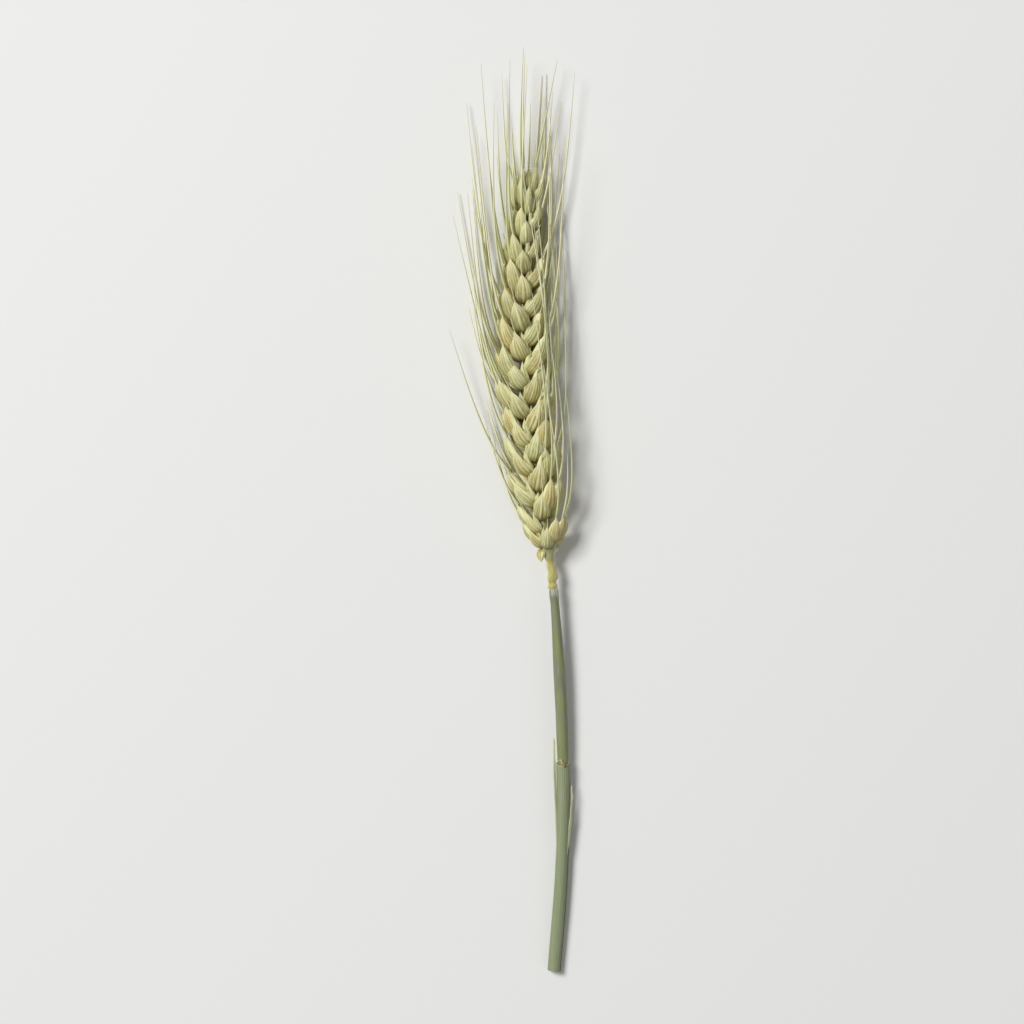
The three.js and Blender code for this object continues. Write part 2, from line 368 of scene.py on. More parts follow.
class Shader:
    """A material's node tree, built by expressions."""

    def __init__(self, name: str) -> None:
        """Starts an empty material.

        Args:
            name: The material's name.
        """
        self.material = bpy.data.materials.new(name)
        self.material.use_nodes = True
        self.tree = self.material.node_tree
        self.tree.nodes.clear()

    def node(
        self,
        kind: str,
        settings: dict[str, Any] | None = None,
        inputs: dict[str | int, Value] | None = None,
        output: str | int = 0,
    ) -> Signal:
        """Adds a node.

        Args:
            kind: Its type.
            settings: Its properties, which are set first.
            inputs: The values or links of its sockets, by name or place.
            output: The output that is used.

        Returns:
            That output.
        """
        made = self.tree.nodes.new(kind)
        for key, value in (settings or {}).items():
            setattr(made, key, value)
        for key, value in (inputs or {}).items():
            target = made.inputs[key]
            if isinstance(value, Signal):
                self.tree.links.new(value.socket, target)
            elif isinstance(value, tuple) and target.type == "RGBA":
                target.default_value = (*value, 1.0)
            else:
                target.default_value = value
        return Signal(self, made.outputs[output])

    def maths(self, operation: str, first: Value, second: Value) -> Signal:
        """One Math node on two numbers."""
        return self.node("ShaderNodeMath", {"operation": operation}, {0: first, 1: second})

    def blend(self, first: Value, second: Value, share: Value) -> Signal:
        """The colour at a share of the way from one colour to another."""
        return self.node("ShaderNodeMix", {"data_type": "RGBA"}, {0: share, 6: first, 7: second}, output=2)

    def step(self, value: Value, low: float, high: float, start: float = 0.0, end: float = 1.0) -> Signal:
        """A smooth step from start to end as a value goes from low to high."""
        inputs = {"Value": value, "From Min": low, "From Max": high, "To Min": start, "To Max": end}
        return self.node("ShaderNodeMapRange", {"interpolation_type": "SMOOTHSTEP"}, inputs)

    def coated(self, base: Value, *coats: tuple[Colour, Value]) -> Signal:
        """A colour under coats of other colours.

        Args:
            base: The colour below.
            coats: Each coat's colour and how much of it shows, from 0 to 1, with the lowest coat first.

        Returns:
            The colour that shows.
        """
        for coat, share in coats:
            base = self.blend(base, coat, share)
        return base

    def readings(self, *names: str) -> list[Signal]:
        """The numbers that the mesh holds at each point under these names."""
        return [self.node("ShaderNodeAttribute", {"attribute_name": n}, output="Fac") for n in names]

    def noise(
        self,
        stretch: tuple[float, float, float],
        scale: float,
        detail: float = 3.0,
        roughness: float = 0.55,
    ) -> Signal:
        """Soft noise in the mesh's own fibre coordinates.

        Args:
            stretch: What each of the three coordinates is multiplied by.
            scale: How fine the noise is.
            detail: How many finer layers it has.
            roughness: How strong those are.

        Returns:
            The noise, from 0 to 1.
        """
        held = self.node("ShaderNodeAttribute", {"attribute_name": "grain"}, output="Vector")
        where = self.node("ShaderNodeVectorMath", {"operation": "MULTIPLY"}, {0: held, 1: stretch})
        inputs = {"Vector": where, "Scale": scale, "Detail": detail, "Roughness": roughness}
        return self.node("ShaderNodeTexNoise", inputs=inputs)

    def finish(
        self,
        colour: Value,
        roughness: Value,
        relief: Signal | None = None,
        depth: float = 0.1,
        **even: float,
    ) -> bpy.types.Material:
        """Closes the tree with one surface shader.

        Args:
            colour: The base colour.
            roughness: The roughness.
            relief: Fine relief for the bump, from 0 to 1.
            depth: How deep that relief is, in millimetres.
            even: Numbers that are the same all over the surface, by socket name with _ for a space.

        Returns:
            The material.
        """
        inputs: dict[str | int, Value] = {"Base Color": colour, "Roughness": roughness}
        inputs.update({name.replace("_", " "): value for name, value in even.items()})
        if relief is not None:
            bump = {"Height": relief, "Strength": 1.0, "Distance": depth * MM}
            inputs["Normal"] = self.node("ShaderNodeBump", inputs=bump)
        surface = self.node("ShaderNodeBsdfPrincipled", inputs=inputs)
        output = self.tree.nodes.new("ShaderNodeOutputMaterial")
        self.tree.links.new(surface.socket, output.inputs["Surface"])
        return self.material


@dataclass(frozen=True)
class ChaffFinish:
    """The dry ribbed chaff of the scales: green-gold, tan and painted shade in its grooves, pale along its
    edges.

    Its rib tops carry a painted highlight.
    """

    green: Colour = srgb(206, 210, 142)
    straw: Colour = srgb(226, 213, 136)
    leaf: Colour = srgb(224, 234, 172)
    bruise: Colour = srgb(166, 176, 134)
    blush: Colour = srgb(200, 164, 108)
    ochre: Colour = srgb(146, 118, 44)
    # groove: the colour of the painted shade in the grooves, which also gives them a tan tint.
    groove: Colour = srgb(140, 112, 46)
    pale: Colour = srgb(242, 240, 192)

    def material(self) -> bpy.types.Material:
        """Builds it.

        Returns:
            The chaff's material.
        """
        shader = Shader("ribbed_chaff")
        rib, tone, along, edge, pallor = shader.readings("rib", "tone", "along", "edge", "pallor")
        fibre = shader.noise((1.0, 1.0, 0.12), 7.0, 4.0, 0.6)
        streak = shader.noise((1.0, 1.0, 0.25), 2.2, 3.0)
        cloud = shader.noise((0.35, 1.0, 0.35), 1.3, 2.0)
        speck = shader.noise((1.0, 1.0, 0.9), 2.6, 2.0)
        cloudy = shader.step(cloud + tone * -0.2, 0.42, 0.62) * shader.step(along, 0.15, 0.45)
        colour = shader.coated(
            self.green,
            (self.straw, shader.step(tone * 0.7 + streak * 0.7, 0.4, 1.0)),
            (self.bruise, cloudy * 0.55),
            (self.blush, shader.step(streak + tone * 0.15, 0.54, 0.8) * 0.55),
            # Paler green on glumes and folded scales and towards the ear's tip, where it is partly painted
            # light that lifts the awns' shade.
            (self.leaf, pallor * shader.step(streak, 0.75, 0.35, 0.4, 0.9)),
            # Painted shade with a tan tint: darker in the grooves between the ribs.
            (self.groove, (1.0 - rib) ** 0.9 * shader.step(streak, 0.2, 0.6, 0.6, 1.0)),
            (self.pale, shader.step(along, 0.55, 1.0) * 0.5),
            (self.pale, shader.step(edge, 0.84, 1.0) * 0.6),
            # Painted highlight: paler in streaks along the rib tops.
            (self.pale, rib * shader.step(fibre, 0.35, 0.65) * 0.5),
            (self.ochre, shader.step(along, 0.36, 0.04) * 0.85),
            (self.ochre, shader.step(speck + tone * 0.1, 0.75, 0.82) * 0.7),
        )
        return shader.finish(colour, 0.5 + fibre * 0.16, fibre, 0.09, Subsurface_Weight=0.04)


@dataclass(frozen=True)
class AwnFinish:
    """The awns: pale straw with green in it, brighter towards their tips, painted shade between their
    ridges.
    """

    green: Colour = srgb(208, 214, 162)
    straw: Colour = srgb(240, 234, 192)
    # groove: the colour of the painted shade between the ridges.
    groove: Colour = srgb(164, 158, 96)

    def material(self) -> bpy.types.Material:
        """Builds it.

        Returns:
            The awns' material.
        """
        shader = Shader("pale_awn")
        along, tone, rib = shader.readings("along", "tone", "rib")
        streak = shader.noise((1.0, 1.0, 0.1), 3.0)
        # Painted shade: darker between the awn's three ridges, less so towards its tip.
        groove_shade = shader.step(rib + streak * 0.3, 0.55, 0.1)
        colour = shader.coated(
            self.green,
            (self.straw, shader.step(along * 0.5 + tone * 0.5 + streak * 0.4, 0.3, 0.95)),
            (self.groove, groove_shade * (0.8 - along * 0.5)),
        )
        return shader.finish(colour, 0.45, streak, 0.02)


@dataclass(frozen=True)
class RachisFinish:
    """The rachis: yellow-tan, pale at both edges, grey-green under the ear, painted shade in its dents and
    furrows.
    """

    tan: Colour = srgb(200, 195, 122)
    brown: Colour = srgb(152, 136, 72)
    pale: Colour = srgb(226, 220, 178)
    green: Colour = srgb(158, 168, 132)

    def material(self) -> bpy.types.Material:
        """Builds it.

        Returns:
            The rachis's material.
        """
        shader = Shader("tan_rachis")
        knob, edge, place = shader.readings("rib", "edge", "place")
        streak = shader.noise((1.0, 1.0, 0.25), 2.6, 4.0)
        under_ear = shader.step(place, 97.8, 99.4)
        colour = shader.coated(
            self.tan,
            (self.green, under_ear * shader.step(streak, 0.3, 0.5)),
            (self.brown, shader.step(streak, 0.46, 0.66) * 0.75),
            # Painted shade: browner in the dents and furrows, clear on the knobs.
            (self.brown, (1.0 - knob) * 0.8),
            (self.pale, shader.step(edge + streak * 0.3, 0.85, 1.1) * 0.7),
        )
        return shader.finish(colour, 0.55, streak, 0.15)


@dataclass(frozen=True)
class StrawFinish:
    """The stem: grey-green straw with fine mauve-grey streaks, and a chalky joint under the ear."""

    green: Colour = srgb(122, 129, 97)
    olive: Colour = srgb(134, 141, 80)
    mauve: Colour = srgb(146, 145, 130)
    dark: Colour = srgb(96, 104, 70)
    chalk: Colour = srgb(180, 189, 178)
    pith: Colour = srgb(206, 204, 168)

    def material(self) -> bpy.types.Material:
        """Builds it.

        Returns:
            The stem's material.
        """
        shader = Shader("grey_green_straw")
        place, inside = shader.readings("place", "inside")
        line = shader.noise((1.0, 1.0, 0.02), 4.5, 3.0, 0.6)
        streak = shader.noise((1.0, 1.0, 0.1), 2.0, 4.0, 0.6)
        patch = shader.noise((0.5, 0.5, 0.12), 1.0, 2.0)
        ragged = place + patch * 4.0 + line * 3.0
        colour = shader.coated(
            self.green,
            (self.olive, shader.step(patch, 0.4, 0.62) * 0.7 + shader.step(place, 62.0, 52.0) * 0.5),
            (self.mauve, shader.step(streak, 0.48, 0.7) * 0.6),
            (self.dark, shader.step(line, 0.5, 0.32) * 0.6),
            (self.chalk, shader.step(ragged, NECK + 1.2, NECK + 2.6) * shader.step(streak, 0.38, 0.62, 0.1)),
            (self.pith, inside),
        )
        return shader.finish(colour, 0.42 + streak * 0.12, line, 0.06)


@dataclass(frozen=True)
class SheathFinish:
    """The leaf sheath: dull grey-green with paler veins, and tan to cream where an edge has dried."""

    green: Colour = srgb(127, 139, 98)
    vein: Colour = srgb(156, 165, 130)
    mauve: Colour = srgb(150, 149, 134)
    dried: Colour = srgb(218, 212, 172)
    knot: Colour = srgb(150, 124, 70)

    def material(self) -> bpy.types.Material:
        """Builds it.

        Returns:
            The sheath's material.
        """
        shader = Shader("dull_green_sheath")
        rib, edge, knot = shader.readings("rib", "edge", "knot")
        line = shader.noise((1.0, 1.0, 0.02), 4.5, 3.0, 0.6)
        streak = shader.noise((1.0, 1.0, 0.1), 2.0, 4.0, 0.6)
        colour = shader.coated(
            self.green,
            (self.vein, rib * 0.35 + shader.step(line, 0.45, 0.7) * 0.5),
            (self.mauve, shader.step(streak, 0.46, 0.7) * 0.65),
            (self.dried, shader.step(edge + streak * 0.3, 0.7, 1.1) * 0.85),
            (self.knot, knot * shader.step(streak, 0.3, 0.6, 0.5)),
        )
        return shader.finish(colour, 0.48 + streak * 0.1, line, 0.08)


@dataclass(frozen=True)
class ScaleKind:
    """One scale of a spikelet of size 1.

    up, out and aside are where its root is. spread is how far it leans to its own side, upright how far it
    leans back to the rachis and turn how far its back faces its own side, in degrees. depth is how far its
    back bulges, bow how far its middle stands off the line from root to tip and keel how high its keel is.
    hollow is the share of its length from which its inner face is hollow, pallor how much paler and greener
    it is than a full floret, and awn the length of its awn beside a full one.
    """

    side: int
    length: float
    half_width: float
    depth: float
    bow: float
    ribs: int
    keel: float
    hollow: float
    up: float = 0.0
    out: float = 0.0
    aside: float = 0.0
    spread: float = 0.0
    upright: float = 0.0
    turn: float = 0.0
    pallor: float = 0.0
    awn: float = 0.0


def glume(side: int) -> ScaleKind:
    """The empty scale at the foot of one side of a spikelet."""
    return ScaleKind(
        side, length=8.6, half_width=2.3, depth=1.7, bow=1.0, ribs=7, keel=0.22, hollow=0.45,
        out=-0.1, aside=0.8, spread=19.0, turn=62.0, pallor=0.6, awn=0.12,
    )


def floret(side: int, up: float) -> ScaleKind:
    """A full floret on one side of a spikelet."""
    return ScaleKind(
        side, length=9.8, half_width=2.5, depth=2.0, bow=0.8, ribs=8, keel=0.12, hollow=0.8,
        up=up, out=0.3, aside=0.6, spread=9.0, turn=22.0, awn=1.0,
    )


def folded_scale(side: int) -> ScaleKind:
    """The narrow folded scale beside a glume, which stands close to the rachis."""
    return ScaleKind(
        side, length=6.8, half_width=1.1, depth=1.1, bow=0.5, ribs=3, keel=0.25, hollow=0.4,
        up=0.3, out=-0.35, aside=1.6, spread=7.0, upright=16.0, turn=80.0, pallor=1.0,
    )


MIDDLE_FLORET = ScaleKind(
    0, length=7.6, half_width=1.7, depth=1.4, bow=0.5, ribs=6, keel=0.12, hollow=0.7,
    up=3.8, out=1.4, pallor=0.2, awn=0.6,
)
SCALES = (
    glume(-1), glume(1), floret(-1, up=1.6), floret(1, up=2.4),
    MIDDLE_FLORET, folded_scale(-1), folded_scale(1),
)
HUSK = ScaleKind(0, length=3.5, half_width=1.3, depth=0.55, bow=0.3, ribs=5, keel=0.1, hollow=0.2)


@dataclass(frozen=True)
class AwnShape:
    """One awn: it leaves its floret's tip and swings round to run along the ear.

    swing is the length over which it does most of its turning, clearance the least height of its middle line
    over the surface below, and lift_off the length over which that comes to hold.
    """

    root: Array
    start: Array
    end: Array
    length: float
    swing: float
    clearance: float = 0.42
    lift_off: float = 8.0

    def path(self, steps: int) -> Array:
        """The awn's points, kept above the surface that the ear lies on.

        Args:
            steps: How many steps it is cut into.

        Returns:
            The points, with its root first.
        """
        step = self.length / steps
        place, points = self.root, [self.root]
        for i in range(steps):
            swung = 1.0 - math.exp(-(i + 0.5) * step / self.swing)
            place = place + unit(mix(self.start, self.end, swung)) * step
            height = self.clearance + math.log1p(math.exp(place[2] - self.clearance))
            settled = smoothstep((i + 1) * step, 0.0, self.lift_off)
            points.append(np.array([place[0], place[1], mix(place[2], height, settled)]))
        return np.array(points)


@dataclass(frozen=True)
class ScaleForm:
    """What every scale's shape has in common, at size 1 and in millimetres.

    widest is the share of its length where it is widest. foot_curve and tip_curve are the powers by which it
    swells from its foot and thins to its tip, and tip_point is what the second gains at the tip. free_edge
    is the angle from its keel to its edges, and inner_share how deep its inner side is beside its back. rib
    is the height of the ribs at the ear's base and wave that of the slow bulges. lining is how far the inner
    face lies inside the outer one, wall how thick the scale is where it is hollow, and sway how far its
    middle bends aside. least is the least distance from its middle line to its skin.
    """

    widest: float = 0.4
    foot_curve: float = 0.55
    tip_curve: float = 0.82
    tip_point: float = 0.3
    free_edge: float = math.radians(80.0)
    inner_share: float = 0.8
    rib: float = 0.2
    wave: float = 0.07
    lining: float = 0.2
    wall: float = 0.16
    sway: float = 0.45
    keel_width: float = 0.15
    least: float = 0.05


@dataclass(frozen=True)
class Growth:
    """A scale where it grows on the ear, in millimetres.

    size is that of its spikelet, width is beside other scales of that size, and share is the spikelet's
    place along the ear.
    """

    kind: ScaleKind
    root: Array
    along: Array
    back: Array
    size: float
    width: float
    length: float
    number: int
    share: float
    awn: AwnShape | None = None
    form: ScaleForm = ScaleForm()

    def draw(self, salt: int) -> float:
        """A repeatable number from -1 to 1 for this scale."""
        return jitter(self.number, salt)

    def ridges(self, across: Array) -> Array:
        """How high the ribs stand at each share of the way across the back, from 0 to 1.

        Args:
            across: The shares, from 0 to 1.

        Returns:
            The heights, with each rib a little higher or lower than its neighbours.
        """
        ribs = self.kind.ribs
        drift = 0.3 * np.sin(2 * math.pi * (across * 1.5 + self.draw(71)))
        place = ribs * across + drift * np.sin(math.pi * across)
        rise = np.array([0.75 + 0.25 * self.draw(80 + k) for k in range(ribs + 1)])
        return rise[np.clip(place.astype(int), 0, ribs)] * np.abs(np.sin(math.pi * place)) ** 0.8

    def raised(self, s: Array, angle: Array, ridge: Array, is_back: Array, fade: Array) -> Array:
        """How far each point of the skin stands out of the plain seed shape.

        Args:
            s: A column of shares of the length.
            angle: A row of angles round the scale, with 0 at its keel.
            ridge: A row of rib heights from 0 to 1.
            is_back: 1 on the back and 0 on the inner face.
            fade: How much relief there is at each share of the length.

        Returns:
            The heights, in millimetres.
        """
        form = self.form
        from_keel = np.abs(angle) / form.keel_width
        rib = form.rib * (1 - 0.35 * smoothstep(self.share, 0.4, 0.9))
        height = is_back * self.size * rib * fade * (ridge - 1.0)
        height = height + is_back * self.kind.keel * self.size * fade * np.exp(-(from_keel**2))
        wave = np.sin(3 * angle + 6 * self.draw(72)) * np.sin(5 * s + 6 * self.draw(73))
        return height + self.size * (form.wave * wave * fade - form.lining * (1 - is_back))

    def rings(self, rows: int = 18, samples: int = 4, inner: int = 9) -> tuple[Array, dict[str, Array]]:
        """The scale's skin: a ribbed back, two free edges and a smooth inner face that hollows to its tip.

        Args:
            rows: How many rings there are from foot to tip.
            samples: How many points cross each rib.
            inner: How many points cross the inner face.

        Returns:
            The rings and the values of their points.
        """
        kind, form = self.kind, self.form
        s = (0.5 - 0.5 * np.cos(np.pi * (np.arange(rows) + 0.7) / (rows + 0.4)))[:, None]
        rib_share = np.linspace(0.0, 1.0, kind.ribs * samples + 1)
        back_angle = mix(-form.free_edge, form.free_edge, rib_share)
        inner_angle = np.linspace(form.free_edge, 2 * math.pi - form.free_edge, inner + 2)
        angle = np.concatenate([back_angle, inner_angle])[None]
        is_back = np.repeat([1.0, 0.0], [len(back_angle), len(inner_angle)])[None]
        ridge = np.concatenate([self.ridges(rib_share), np.full(len(inner_angle), 0.5)])[None]
        fade = smoothstep(s, 0.02, 0.14) * (1 - smoothstep(s, 0.82, 1.0))

        thinning = form.tip_curve + form.tip_point * smoothstep(s, 0.75, 1.0)
        swell = (s / form.widest) ** form.foot_curve * ((1 - s) / (1 - form.widest)) ** thinning
        swell = np.maximum(swell, 0.07)
        raised = self.raised(s, angle, ridge, is_back, fade)
        width, depth = kind.half_width * self.size * self.width, kind.depth * self.size
        thick = np.where(np.cos(angle) > 0, 1.0, form.inner_share)
        across = np.sin(angle) * np.maximum(width * swell + raised, form.least)
        out = np.cos(angle) * thick * np.maximum(depth * swell + raised, form.least)
        roof = np.abs(np.cos(angle)) * depth * swell - form.wall * self.size
        hollow = smoothstep(s, kind.hollow, kind.hollow + 0.18) * (1 - is_back)
        out = mix(out, np.maximum(roof, out), hollow)
        across = across + form.sway * self.draw(74) * self.size * s * np.sin(math.pi * s)

        normal = unit(np.cross(np.cross(self.along, self.back), self.along))
        curl = kind.bow * self.size * np.sin(math.pi * s)
        frames = Frames(
            self.root + self.along * s * self.length + normal * curl,
            self.along[None],
            normal[None],
            np.cross(normal, self.along)[None],
        )
        values = {
            # rib: the rib height, which sets the painted shade in the grooves and the painted highlight on
            # the rib tops.
            "rib": mix(0.7, ridge, fade * is_back),
            "along": s,
            "edge": np.where(is_back > 0, np.abs(angle) / form.free_edge, 1.0),
            "tone": 0.5 + 0.5 * self.draw(62),
            # Paler towards the ear's tip, partly as painted light that lifts the shade of the awns there.
            "pallor": max(kind.pallor, 1.3 * smoothstep(self.share, 0.7, 0.95)),
            "grain": fibres(angle * 1.6, self.number * 3.7, s * self.length),
        }
        return frames.rings(out, across), values


@dataclass(frozen=True)
class Spikelet:
    """Where a spikelet stands. It leans away from the rachis, to outward, by lean in radians."""

    base: Array
    along: Array
    outward: Array
    share: float
    lean: float
    index: int


@dataclass
class Ear:
    """The ear: where every scale and awn grows on the rachis, by the CAD part's rules.

    A share is a place along the ear, from 0 at its base to 1 at its tip. broken holds the length of each
    broken awn, by the numbers of its spikelet and scale.
    """

    roll_at_base: float = 36.0
    roll_at_shoulder: float = -34.0
    shoulder: float = 170.0
    tip_drop: float = 0.4
    tip_lean: float = 4.0
    husk_place: float = 101.5
    broken: dict[tuple[int, int], float] = field(default_factory=lambda: {(22, 3): 13.0, (23, 2): 9.0})

    def size(self, share: float) -> float:
        """How large the spikelet at a share is, beside one in the middle."""
        shoulder = smoothstep(share, 0.5, 1.05) ** 1.2
        return 0.76 + 0.24 * smoothstep(share, 0.0, 0.12) - 0.3 * shoulder

    def longer(self, share: float) -> float:
        """How long the scales at a share are, beside those in the middle."""
        return 1.0 + 0.3 * smoothstep(share, 0.85, 1.0)

    def narrower(self, share: float) -> float:
        """How wide the scales at a share are, beside those in the middle."""
        return 1.0 - 0.25 * smoothstep(share, 0.75, 1.0)

    def lean(self, share: float) -> float:
        """How far a spikelet leans out from the axis, in degrees."""
        return 31.0 - 6.0 * smoothstep(share, 0.0, 0.2) - 9.0 * smoothstep(share, 0.55, 1.0)

    def awn_length(self, share: float) -> float:
        """How long the awns at a share are."""
        return 26.0 + 22.0 * smoothstep(share, 0.0, 0.35) - 21.4 * smoothstep(share, 0.55, 1.0)

    def scale(self, spikelet: Spikelet, part: int) -> Growth:
        """One scale of a spikelet.

        Args:
            spikelet: The spikelet.
            part: The scale's number in SCALES.

        Returns:
            The scale, with its awn if it has one.
        """
        kind, along, outward = SCALES[part], spikelet.along, spikelet.outward
        sway, nod, more, twist, splay, lift, reach, curl = (
            jitter(spikelet.index, part * 10 + salt) for salt in range(1, 9)
        )
        aside = np.cross(along, outward)
        axis, away = turned(along, outward, spikelet.lean), turned(outward, along, -spikelet.lean)
        spread = math.radians(kind.side * kind.spread + 3.5 * sway)
        leaning = turned(axis, -away, math.radians(kind.upright))
        direction = unit(turned(leaning, aside, spread) + away * 0.07 * nod)
        back = turned(away, aside, math.radians(kind.side * kind.turn + 7 * twist))
        size = self.size(spikelet.share)
        length = kind.length * size * self.longer(spikelet.share) * (1 + 0.06 * more)
        shift = axis * kind.up + outward * kind.out + aside * kind.side * kind.aside
        root = spikelet.base + shift * size
        awn = None
        if kind.awn:
            full = self.awn_length(spikelet.share) * kind.awn * (1 + 0.16 * reach)
            awn = AwnShape(
                root=root + direction * 0.9 * length,
                start=direction,
                end=unit(along + outward * (0.02 + 0.06 * lift) + aside * (0.05 * kind.side + 0.08 * splay)),
                length=self.broken.get((spikelet.index, part), full),
                swing=9 + 3 * curl,
            )
        width, number = self.narrower(spikelet.share), spikelet.index * len(SCALES) + part
        return Growth(kind, root, direction, back, size, width, length, number, spikelet.share, awn)

    def scales(self, spikelet: Spikelet) -> list[Growth]:
        """Every scale of a spikelet, glumes first."""
        return [self.scale(spikelet, part) for part in range(len(SCALES))]

    def in_row(self, x: float, share: float, row: Row, index: int) -> Spikelet:
        """A spikelet of one of the rows.

        Args:
            x: Where it stands along the stalk.
            share: Its place along the ear.
            row: Its row.
            index: Its number from the ear's base.

        Returns:
            The spikelet, which stands out as far round the rachis as the ear's twist takes it.
        """
        frames = AXIS.frames(x)
        twist = smoothstep(x, FIRST_SPIKELET, self.shoulder)
        roll = math.radians(mix(self.roll_at_base, self.roll_at_shoulder, twist))
        outward = turned(frames.right[0], frames.up[0], roll) * row.value
        lean = math.radians(self.lean(share) + 3 * jitter(index, 50))
        return Spikelet(frames.point[0], frames.along[0], outward, share, lean, index)

    def at_tip(self) -> Spikelet:
        """The spikelet at the ear's tip, which stands upright across the two rows.

        Returns:
            The spikelet.
        """
        frames = AXIS.frames(TERMINAL_SPIKELET)
        base = frames.point[0] - self.tip_drop * frames.up[0]
        return Spikelet(base, frames.along[0], frames.up[0], 1.0, math.radians(self.tip_lean), SPIKELETS)

    def husk(self) -> Growth:
        """The dried scale that droops beside the neck, on its left.

        Returns:
            The scale.
        """
        frames = AXIS.frames(self.husk_place)
        side, back = (turned(frames.right[0], frames.up[0], angle) for angle in (2.85, 2.1))
        root, along = frames.point[0] + side * 1.5, unit(side * 0.2 - frames.along[0])
        return Growth(HUSK, root, along, back, 1.0, 1.0, HUSK.length, number=203, share=0.0)

    def grow(self) -> dict[Row, list[Growth]]:
        """Every scale of the ear.

        Returns:
            The scales by row, with the tip's in the right row and the husk in the left.
        """
        opposite = self.in_row(OPPOSITE_SPIKELET, 0.0, Row.LEFT, SPIKELETS + 1)
        rows = {Row.RIGHT: [], Row.LEFT: self.scales(opposite)}
        for index in range(SPIKELETS):
            row = Row.LEFT if index % 2 else Row.RIGHT
            x = FIRST_SPIKELET + SPIKELET_PITCH * index
            rows[row] += self.scales(self.in_row(x, index / SPIKELETS, row, index))
        rows[Row.RIGHT] += self.scales(self.at_tip())
        rows[Row.LEFT].append(self.husk())
        return rows

    def build(self) -> None:
        """Makes the two rows of scales, and the awns of both."""
        chaff = ChaffFinish().material()
        rows = self.grow()
        for row, growths in rows.items():
            draft = Draft(f"scales_{row.name.lower()}_row")
            for growth in growths:
                rings, values = growth.rings()
                draft.tube(rings, **values)
            draft.build(chaff, "ear", "ear")
        Awns().build([growth for growths in rows.values() for growth in growths if growth.awn])


@dataclass
class Awns:
    """The awns: long three-ridged needles with rows of fine teeth that point forwards.

    tooth is the step from a tooth to the dent beside it, tooth_height and ridge are shares of the radius,
    and neck is the share of it where an awn leaves its scale. A short awn is thinner at its root.
    """

    root_radius: float = 0.34
    tip_radius: float = 0.055
    tooth: float = 0.5
    tooth_height: float = 0.12
    neck: float = 0.6
    neck_length: float = 2.5
    ridge: float = 0.25
    sides: int = 6

    def build(self, growths: list[Growth]) -> None:
        """Makes every awn as one piece.

        Args:
            growths: The scales that carry them.
        """
        draft = Draft("awns")
        for growth in growths:
            self.add(draft, growth)
        draft.build(AwnFinish().material(), "ear", "ear")

    def add(self, draft: Draft, growth: Growth) -> None:
        """Adds one awn to the piece.

        Args:
            draft: The piece.
            growth: The scale that carries it.
        """
        length = growth.awn.length
        steps = 2 * round(length / self.tooth / 2)
        points = growth.awn.path(steps)
        u = np.linspace(0.0, 1.0, steps + 1)[:, None]
        angle = once_round(self.sides)
        ridge = np.cos(3 * angle)
        root = self.root_radius * smoothstep(length, -4.0, 12.0)
        neck = mix(self.neck, 1.0, smoothstep(u * length, 0.0, min(self.neck_length, length / 4)))
        teeth = 1.0 + self.tooth_height * (np.arange(steps + 1) % 2)[:, None]
        radius = mix(root, self.tip_radius, u**0.75) * neck * teeth * (1.0 + self.ridge * ridge)
        along = unit(np.gradient(points, axis=0))
        frames = Frames(points, along, *square_to(along))
        draft.tube(
            frames.rings(radius * np.cos(angle), radius * np.sin(angle)),
            # rib: the ridge height, which sets the painted shade between the ridges.
            rib=0.5 + 0.5 * ridge,
            along=u,
            tone=0.5 + 0.5 * growth.draw(63),
            grain=fibres(angle, growth.number, u * length),
        )


@dataclass(frozen=True)
class Bump:
    """A knob or dent of the bare rachis: where it is along and around it, and how high and wide it is."""

    x: float
    turn: float
    height: float
    reach: float
    spread: float = 50.0

    def at(self, x: Array, angle: Array) -> Array:
        """Its height at each x and each angle round the rachis."""
        around = (angle - self.turn + math.pi) % (2 * math.pi) - math.pi
        return self.height * np.exp(-(((x - self.x) / self.reach) ** 2) - (around / self.spread) ** 2)


